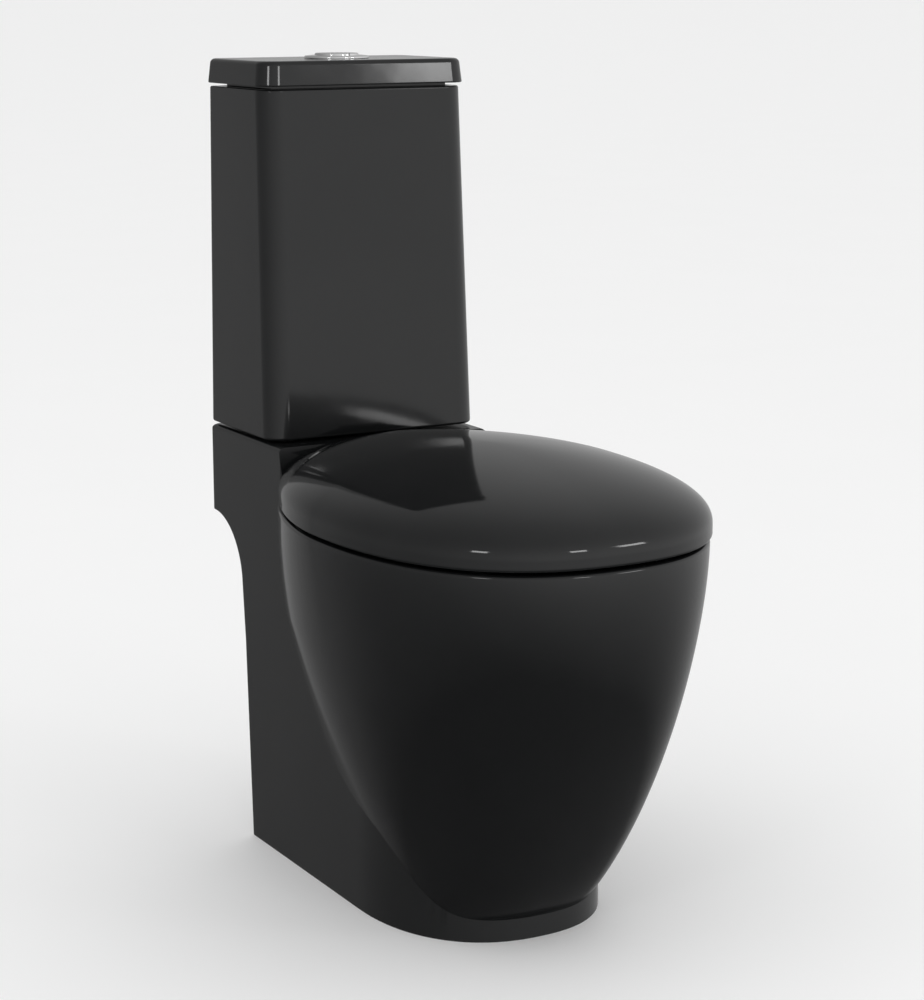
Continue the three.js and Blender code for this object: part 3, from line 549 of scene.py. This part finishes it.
def side_outline():
    """The pedestal and deck seen from the side."""
    shoulder = DECK_FRONT - 6
    return [
        (0, DECK_TOP),
        (-1.5, DECK_UNDER),
        *arc(BACK_CURVE, BACK_CURVE_R, 90, 177, 28),
        BACK_KNEE,
        BACK_FOOT,
        (SLAB_FRONT, 0),
        (SLAB_FRONT, SLAB_FRONT_TOP),
        (shoulder, SLAB_FRONT_TOP),
        (shoulder, DECK_LIP_Z),
        (DECK_FRONT, DECK_TOP),
    ]


def foot_outline():
    """The foot's plan: straight sides and a blunt nose."""
    edge = SLAB_BACK_EDGE
    nose = []
    for turn in np.linspace(math.pi, 2 * math.pi, 81):
        x = SLAB_HALF_WIDTH * signed_power(math.cos(turn), 2 / SLAB_NOSE_POWER)
        nose.append((x, SLAB_NOSE_Y + SLAB_NOSE * signed_power(math.sin(turn), 2 / SLAB_NOSE_POWER)))
    return [
        (SLAB_HALF_WIDTH - edge, 0.5),
        (-SLAB_HALF_WIDTH + edge, 0.5),
        (-SLAB_HALF_WIDTH, 0.5 - edge),
        *nose,
        (SLAB_HALF_WIDTH, 0.5 - edge),
    ]


def deck_ring(z, inset):
    half = SLAB_HALF_WIDTH + 0.2 - inset
    front = DECK_FRONT - 8 + inset
    return rounded_rectangle(z, half, front, 0.2 - inset, DECK_CORNER, DECK_CORNER / 2, 8)


def deck_envelope():
    """Rounds the deck's top edge: everything under this skin is kept."""
    rings = [deck_ring(DECK_LIP_Z - 18, 0)]
    for turn in np.radians(np.linspace(0, 90, 9)):
        z = DECK_TOP - DECK_ROUND + DECK_ROUND * math.sin(turn)
        rings.append(deck_ring(z, DECK_ROUND * (1 - math.cos(turn))))
    return join(loft("envelope", rings), block("lower", (-140, 140), (-540, 10), (-1, 389)))


def pedestal():
    slab = prism("slab", side_outline(), -SLAB_HALF_WIDTH - 5, SLAB_HALF_WIDTH + 5, "x")
    return keep(slab, prism("foot", foot_outline(), -1, 440, "z"), deck_envelope())


def bowl_hollow():
    """The bowl's hollow: mouth, rim step and the well down to the sump."""

    def opening(z, grow):
        length = OPENING_HALF_LENGTH + grow
        return (z, OPENING_HALF_WIDTH + grow, length, length, OPENING_CENTRE_Y)

    mouth = [opening(344, -MOUTH_STEP), opening(378, -MOUTH_STEP)]
    lip = []
    for turn in np.radians(np.linspace(0, 90, 7)):
        grow = 9 * (1 - math.cos(turn)) - MOUTH_STEP
        lip.append(opening(RIM_Z - LIP_DEPTH + LIP_DEPTH * math.sin(turn), grow))
    rows = [*smooth_rows(WELL, 6), *mouth, *lip, opening(RIM_Z + 1, 5)]
    rings = [egg(*row, OPENING_POWER, OPENING_POWER, 112) for row in rows]
    return loft("hollow", rings)


def underside():
    """The hollow in the foot's underside."""
    return loft("underside", [egg(*row, UNDERSIDE_Y, 2.8, 6, 64) for row in UNDERSIDE])


def pan_fittings():
    """The flush water's duct, the outlet spigot and the lugs that take the floor fixings."""
    start = RECESS_FRONT - 5
    duct_half = DUCT_HALF_WIDTH
    duct = block("duct", (-duct_half, duct_half), (start, -14), (DUCT_BOTTOM, RECESS_TOP + 2))
    outlet = bar("outlet", OUTLET_R, (0, start, OUTLET_Z), OUTLET_END_Y - start, "y", 72)
    deep = (RECESS_FRONT - 2, RECESS_FRONT + LUG_LENGTH)
    spans = ((LUG_NEAR, LUG_FAR), (-LUG_FAR, -LUG_NEAR))
    return [duct, outlet, *[block("lug", span, deep, (0, LUG_HEIGHT)) for span in spans]]


def pan_holes():
    under = RECESS_TOP - 5
    holes = [bar("fill", FILL_HOLE_R, (FILL_X, FILL_Y, under), 30)]
    for side in (-1, 1):
        holes.append(bar("bolt", BOLT_HOLE_R, (side * BOLT_X, BOLT_Y, under), 30))
        holes.append(bar("hinge", HINGE_HOLE_R, (side * HINGE_X, HINGE_Y, DECK_UNDER - 2), 60))
        holes.append(bar("fixing", FIXING_R, (side * FIXING_X, RECESS_FRONT + 20, -1), 20))
    return holes


def make_pan():
    half = RECESS_HALF_WIDTH
    recess = block("recess", (-half, half), (RECESS_FRONT, 20), (-2, RECESS_TOP))
    fittings = pan_fittings()
    holes = pan_holes()
    pan = cut(join(bowl_outside(), pedestal()), recess)
    join(pan, *fittings)
    cut(pan, bowl_hollow(), passage("trap", TRAP_ROUTE, TRAP_BORE_R, 6))
    cut(pan, bar("socket", SOCKET_R, (0, VALVE_Y, 398), 40, "z", 72))
    cut(pan, passage("channel", CHANNEL_ROUTE, CHANNEL_R, 5, 24), *holes, underside())
    place(pan, "root", "pan", MATERIALS["black_glaze"])


# ---- cistern and lid ----
def tank_ring(z, inset, steps=12):
    rise = (z - TANK_BOTTOM) / (TANK_TOP - TANK_BOTTOM)
    half = TANK_BOTTOM_HALF + (TANK_TOP_HALF - TANK_BOTTOM_HALF) * rise - inset
    depth = TANK_BOTTOM_DEPTH + (TANK_TOP_DEPTH - TANK_BOTTOM_DEPTH) * rise - inset
    front = max(TANK_FRONT_ROUND - inset, 3)
    back = max(TANK_BACK_ROUND - inset, 3)
    return rounded_rectangle(z, half, -depth, -inset, front, back, steps)


def make_cistern():
    turns = np.radians(np.linspace(0, 90, 6))
    low, high = TANK_EDGE, TANK_RIM_EDGE
    lower = [tank_ring(TANK_BOTTOM + low - low * math.cos(t), low - low * math.sin(t)) for t in turns]
    upper = [tank_ring(TANK_TOP - high + high * math.sin(t), high - high * math.cos(t)) for t in turns]
    outside = loft("cistern", [*lower, *upper])
    inside = loft(
        "inside",
        [tank_ring(TANK_BOTTOM + TANK_FLOOR, TANK_WALL), tank_ring(TANK_TOP + 2, TANK_WALL)],
    )
    under = TANK_BOTTOM - 2
    holes = [
        bar("valve", TANK_VALVE_HOLE_R, (0, VALVE_Y, under), 20, "z", 64),
        bar("inlet", TANK_FILL_HOLE_R, (FILL_X, FILL_Y, under), 20),
        bar("bolt_left", TANK_BOLT_HOLE_R, (-BOLT_X, BOLT_Y, under), 20),
        bar("bolt_right", TANK_BOLT_HOLE_R, (BOLT_X, BOLT_Y, under), 20),
    ]
    place(cut(outside, inside, *holes), "root", "cistern", MATERIALS["black_glaze"])


def lid_ring(z, inset):
    return rounded_rectangle(
        z, LID_HALF - inset, -LID_DEPTH + inset, -inset * 0.5, 20 - inset * 0.5, 8, 12
    )


def make_lid():
    edge, foot = LID_ROUND, LID_FOOT
    ceiling = LID_TOP - LID_PLATE
    rings = []
    for turn in np.radians(np.linspace(0, 90, 6)):
        rings.append(lid_ring(LID_BOTTOM + foot - foot * math.cos(turn), 1 - math.sin(turn)))
    for turn in np.radians(np.linspace(0, 90, 10)):
        inset = LID_DRAFT + edge * (1 - math.cos(turn))
        rings.append(lid_ring(LID_TOP - edge + edge * math.sin(turn), inset))
    outside = loft("cistern_lid", rings)
    pocket = block("pocket", (-106, 106), (-130, -10), (LID_BOTTOM - 5, ceiling))
    lip = cut(
        block("lip", (-99, 99), (-124, -14), (LID_BOTTOM - 11, ceiling + 1)),
        block("room", (-94, 94), (-119, -19), (LID_BOTTOM - 12, ceiling + 2)),
    )
    hole = bar("hole", BEZEL_COLLAR_R + 0.6, (0, VALVE_Y, ceiling - 1), LID_PLATE + 3, "z", 72)
    lid = cut(join(cut(outside, pocket), lip), hole)
    place(lid, "root", "cistern_lid", MATERIALS["black_glaze"])


# ---- seat ----
def cover_ring(share, height, inset, count):
    ring = egg(
        height,
        (COVER_HALF_WIDTH - inset) * share,
        (COVER_FRONT - inset) * share,
        (COVER_REAR - inset) * share,
        COVER_CENTRE_Y,
        COVER_POWER_FRONT,
        COVER_POWER_REAR,
        count,
    )
    back = np.clip((ring[:, 1] - COVER_CENTRE_Y) / (COVER_REAR_Y - COVER_CENTRE_Y), 0, 1)
    lift = np.clip((height - COVER_BOTTOM - COVER_EDGE_ROUND) / 8, 0, 1)
    ring[:, 2] -= COVER_REAR_DROP * back**2 * lift
    return ring


def cover_skin(name, inset, count, steps):
    base = COVER_BOTTOM - (2 if inset > 0 else 0)
    shoulder = COVER_SHOULDER - inset * 0.4
    crown = COVER_CROWN - inset * 0.6
    if inset > 0:
        rings = [cover_ring(1, base, inset, count)]
    else:
        rings = []
        for across, up in arc((0, COVER_EDGE_ROUND), COVER_EDGE_ROUND, -90, 0, 7):
            rings.append(cover_ring(1, base + up, COVER_EDGE_ROUND - across, count))
        for height in np.linspace(base + COVER_EDGE_ROUND, shoulder, 6)[1:-1]:
            rings.append(cover_ring(1, height, 0, count))
    for turn in np.radians(np.linspace(0, 89, steps)):
        share = math.cos(turn) ** (2 / COVER_CROWN_POWER)
        rise = math.sin(turn) ** (2 / COVER_EDGE_POWER)
        rings.append(cover_ring(share, shoulder + crown * rise, inset, count))
    return loft(name, rings)


def cover_trim(inset):
    """Keeps the cover's rear inside the circle it turns in about the hinge."""
    reach = COVER_REAR_Y - HINGE_Y - inset
    swing = COVER_SWING_R - inset
    corner = math.degrees(math.acos(reach / swing))
    foot = -math.degrees(math.asin((HINGE_Z - COVER_BOTTOM + 1) / (COVER_REAR_Y - HINGE_Y)))
    hinge = (HINGE_Y, HINGE_Z)
    outline = [(-700, 380), (-700, 480), (HINGE_Y, 480)]
    outline += arc(hinge, swing, 90, corner, 14)
    outline += arc(hinge, reach, 0, foot, 14)
    outline.append((HINGE_Y + reach * math.cos(math.radians(foot)), 380))
    return prism("trim", outline, -220, 220, "x")


def span_of(side, near, width):
    """The span from near outwards on one side of the middle, lowest first."""
    return (near, near + width) if side > 0 else (-near - width, -near)


def make_cover():
    shell = keep(cover_skin("seat_cover", 0, 176, 44), cover_trim(0))
    cut(shell, keep(cover_skin("inner", COVER_WALL, 120, 26), cover_trim(COVER_WALL)))
    profile = [*arc((HINGE_Y, HINGE_Z), EAR_R, -180, 0, 24), (HINGE_Y + EAR_R, 446), (HINGE_Y - EAR_R, 446)]
    for side in (-1, 1):
        ear = prism("ear", profile, *span_of(side, COVER_EAR_X, COVER_EAR_WIDTH), "x")
        boss = bar("boss", BUFFER_R, (side * BUFFER_X, BUFFER_Y, 414), 30, "z", 32)
        for extra in (ear, boss):
            join(shell, keep(extra, cover_skin("limit", 1, 96, 20)))
    for side in (-1, 1):
        span = span_of(side, NOTCH_INNER_X, NOTCH_OUTER_X - NOTCH_INNER_X)
        notch = block("notch", span, (HINGE_Y + 6, COVER_REAR_Y + 5), (COVER_BOTTOM - 10, NOTCH_TOP))
        start, _ = span_of(side, COVER_EAR_X - 1, COVER_EAR_WIDTH + 3)
        bore = bar("bore", PIN_R + GAP, (start, HINGE_Y, HINGE_Z), COVER_EAR_WIDTH + 3, "x")
        cut(shell, notch, bore)
    place(shell, "seat_cover", "seat_cover", MATERIALS["black_seat_plastic"])


def ring_section(z, sizes, grow, centre_y, powers):
    half, front, rear = (size + grow for size in sizes)
    return egg(z, half, front, rear, centre_y, *powers, 144)


def ring_outer(z, inset):
    return ring_section(z, RING_SIZES, -inset, COVER_CENTRE_Y, (COVER_POWER_FRONT, COVER_POWER_REAR))


def ring_inner(z, grow):
    return ring_section(z, RING_HOLE, grow, OPENING_CENTRE_Y, (OPENING_POWER, OPENING_POWER))


def make_ring():
    base = RING_BOTTOM + RING_EDGE
    outer_rows = smooth_rows([(base, 0), (400, 0.3), (405, 3), (408.5, 9), (RING_TOP, 20)], 5)
    inner_rows = smooth_rows([(base, 0), (399, 0.3), (405, 4), (408.5, 11), (RING_TOP, 24)], 5)
    turns = np.radians([90, 60, 30])
    foot = [(base - RING_EDGE * math.sin(t), RING_EDGE - RING_EDGE * math.cos(t)) for t in turns]
    outside = loft("seat_ring", [ring_outer(z, inset) for z, inset in [*foot, *outer_rows]])
    below = [(RING_BOTTOM - 1, 2), *foot]
    above = [*inner_rows, (RING_TOP + 1, 30)]
    hole = loft("hole", [ring_inner(z, grow) for z, grow in [*below, *above]])
    rear = block("rear", (-220, 220), (RING_REAR, 0), (RING_BOTTOM - 5, RING_TOP + 5))
    ring = cut(outside, hole, rear)
    back, low = RING_REAR - 18, RING_BOTTOM + 1
    profile = [
        *arc((HINGE_Y, HINGE_Z), EAR_R, -60, 110, 24),
        (back, RING_TOP - 1),
        (back, low),
        (RING_REAR + 4, low),
    ]
    for side in (-1, 1):
        start, end = span_of(side, RING_EAR_X, RING_EAR_WIDTH)
        join(ring, prism("ear", profile, start, end, "x"))
        cut(ring, bar("bore", PIN_R + GAP, (start - 2, HINGE_Y, HINGE_Z), RING_EAR_WIDTH + 4, "x"))
    place(ring, "seat_ring", "seat_ring", MATERIALS["black_seat_plastic"])


def make_hinge_post(side, node):
    x = side * HINGE_X
    foot = turned(
        node,
        [(0, 388.7), (12.6, 388.7), (13, 389.2), (13, 392.2), *arc((11, 392.5), 2, 0, 90, 6), (0, 394.5)],
        x,
        HINGE_Y,
    )
    column = bar("column", 8.5, (x, HINGE_Y, 394), 20, "z", 48)
    barrel = bar("barrel", 9, (x - 12, HINGE_Y, HINGE_Z), 24, "x", 56)
    join(foot, column, barrel)
    cut(foot, bar("bore", PIN_R + GAP, (x - 13, HINGE_Y, HINGE_Z), 26, "x", 32))
    cut(foot, bar("socket", PIN_R + GAP, (x, HINGE_Y, 388), 12, "z", 32))
    place(foot, "root", node, MATERIALS["chrome"])


# ---- flush button ----
def make_bezel():
    flange = LID_TOP + GAP
    outline = [
        (BEZEL_BORE_R, BEZEL_BOTTOM),
        (BEZEL_COLLAR_R, BEZEL_BOTTOM),
        (BEZEL_COLLAR_R, flange),
        (BEZEL_FLANGE_R - 0.3, flange),
        (BEZEL_FLANGE_R, flange + 0.3),
        *arc((BEZEL_FLANGE_R - 1.8, flange + 0.7), 1.8, 0, 70, 7),
        (BEZEL_BORE_R + 4, flange + 2.9),
        (BEZEL_BORE_R + 2, flange + 3),
        *arc((BEZEL_BORE_R + 1, flange + 2), 1, 90, 180, 5),
    ]
    place(turned("button_bezel", outline, 0, VALVE_Y, 96), "root", "button_bezel", MATERIALS["chrome"])


def make_button(node, body, span, rod_x, rod_y):
    edge = BUTTON_EDGE
    outline = [(0, BUTTON_BOTTOM), (BUTTON_R, BUTTON_BOTTOM), (BUTTON_R, BUTTON_TOP - edge)]
    outline += arc((BUTTON_R - edge, BUTTON_TOP - edge), edge, 0, 90, 7)[1:]
    outline.append((0, BUTTON_TOP))
    cap = turned(node, outline, 0, VALVE_Y, 96)
    keep(cap, block("half", span, (VALVE_Y - 40, VALVE_Y + 40), (800, 830)))
    join(cap, bar("rod", ROD_R, (rod_x, rod_y, ROD_BOTTOM), ROD_LENGTH, "z", 24))
    place(cap, body, node, MATERIALS["chrome"])


# ---- stage ----
FLOOR_HALF = 240.0  # metres, so that its far edge lies above the picture
WINDOW_SIZE = (0.55, 0.4)
WINDOW_POWER = 5.0
WINDOW_DISTANCE = 3.0
WINDOW_ELEVATION = 20
WINDOWS = {"window_left": -61.8, "window_middle": 10.6, "window_right": 38.3}  # degrees right of the front


def make_floor():
    """A pale floor; mirror-like surfaces see the studio's dim lower half instead of it."""
    half = FLOOR_HALF
    mesh = bpy.data.meshes.new("floor")
    corners = [(-half, -half, 0), (half, -half, 0), (half, half, 0), (-half, half, 0)]
    mesh.from_pydata(corners, [], [(0, 1, 2, 3)])
    floor = bpy.data.objects.new("floor", mesh)
    bpy.context.collection.objects.link(floor)
    mesh.materials.append(material("pale_floor", (grey(0.94), grey(0.945)), (0.6, 0.7), 3, 200, 0.00001))
    floor.visible_glossy = False


def ranged(tree, value, source, result):
    made = tree.nodes.new("ShaderNodeMapRange")
    for label, number in zip(("From Min", "From Max", "To Min", "To Max"), (*source, *result), strict=True):
        made.inputs[label].default_value = number
    tree.links.new(value, made.inputs["Value"])
    return made.outputs["Result"]


def calculated(tree, operation, *values):
    made = tree.nodes.new("ShaderNodeMath")
    made.operation = operation
    for k, value in enumerate(values):
        if isinstance(value, float):
            made.inputs[k].default_value = value
        else:
            tree.links.new(value, made.inputs[k])
    return made.outputs["Value"]


def make_world():
    """White all round, but reflections see a studio brighter in front and on the right, dim below."""
    world = bpy.data.worlds.new("studio")
    world.use_nodes = True
    tree = world.node_tree
    parts = tree.nodes.new("ShaderNodeSeparateXYZ")
    tree.links.new(tree.nodes.new("ShaderNodeTexCoord").outputs["Generated"], parts.inputs["Vector"])
    right = ranged(tree, parts.outputs["X"], (-1, 1), (0.06, 0.44))
    front = ranged(tree, parts.outputs["Y"], (-1, 1), (0.6, 0.1))
    below = ranged(tree, parts.outputs["Z"], (-0.6, -0.14), (0.16, 1))
    above = ranged(tree, parts.outputs["Z"], (0, 0.9), (1, 0.7))
    level = calculated(tree, "MULTIPLY", below, above)
    seen = calculated(tree, "MULTIPLY", calculated(tree, "ADD", right, front), level)
    glossy = tree.nodes.new("ShaderNodeLightPath").outputs["Is Glossy Ray"]
    change = calculated(tree, "SUBTRACT", seen, 1.0)
    strength = calculated(tree, "MULTIPLY_ADD", glossy, change, 1.0)
    back = tree.nodes["Background"]
    back.inputs["Color"].default_value = (1, 1, 1, 1)
    tree.links.new(strength, back.inputs["Strength"])
    bpy.context.scene.world = world


def make_window(name, target, azimuth):
    """A small bright panel in the direction of azimuth that shows as a window-like highlight."""
    data = bpy.data.lights.new(name, "AREA")
    data.shape = "RECTANGLE"
    data.size, data.size_y = WINDOW_SIZE
    data.energy = WINDOW_POWER
    light = bpy.data.objects.new(name, data)
    turn, rise = math.radians(azimuth), math.radians(WINDOW_ELEVATION)
    way = Vector((math.sin(turn) * math.cos(rise), -math.cos(turn) * math.cos(rise), math.sin(rise)))
    light.location = Vector(target) + WINDOW_DISTANCE * way
    light.rotation_euler = way.to_track_quat("Z", "Y").to_euler()
    bpy.context.collection.objects.link(light)


make_pan()
make_cistern()
make_lid()
make_cover()
make_ring()
make_hinge_post(-1, "hinge_post_left")
make_hinge_post(1, "hinge_post_right")
make_bezel()
left_half = (-40, BUTTON_SPLIT_X - 0.4)
right_half = (BUTTON_SPLIT_X + 0.4, 40)
make_button("full_flush_button", "full_button", left_half, -ROD_X, VALVE_Y + LEVER_OFFSET)
make_button("half_flush_button", "half_button", right_half, ROD_X, VALVE_Y - LEVER_OFFSET)

for node, shown in frame["nodes"].items():
    if not shown.hide_render:
        shown.data.materials.clear()
        shown.data.materials.append(MATERIALS[NODE_SLOTS[node]])

make_floor()
make_world()
cover_front = (0.0, cad_low.y, COVER_SHOULDER * MM)
for name, azimuth in WINDOWS.items():
    make_window(name, cover_front, azimuth)
bpy.context.scene.view_settings.view_transform = "Standard"
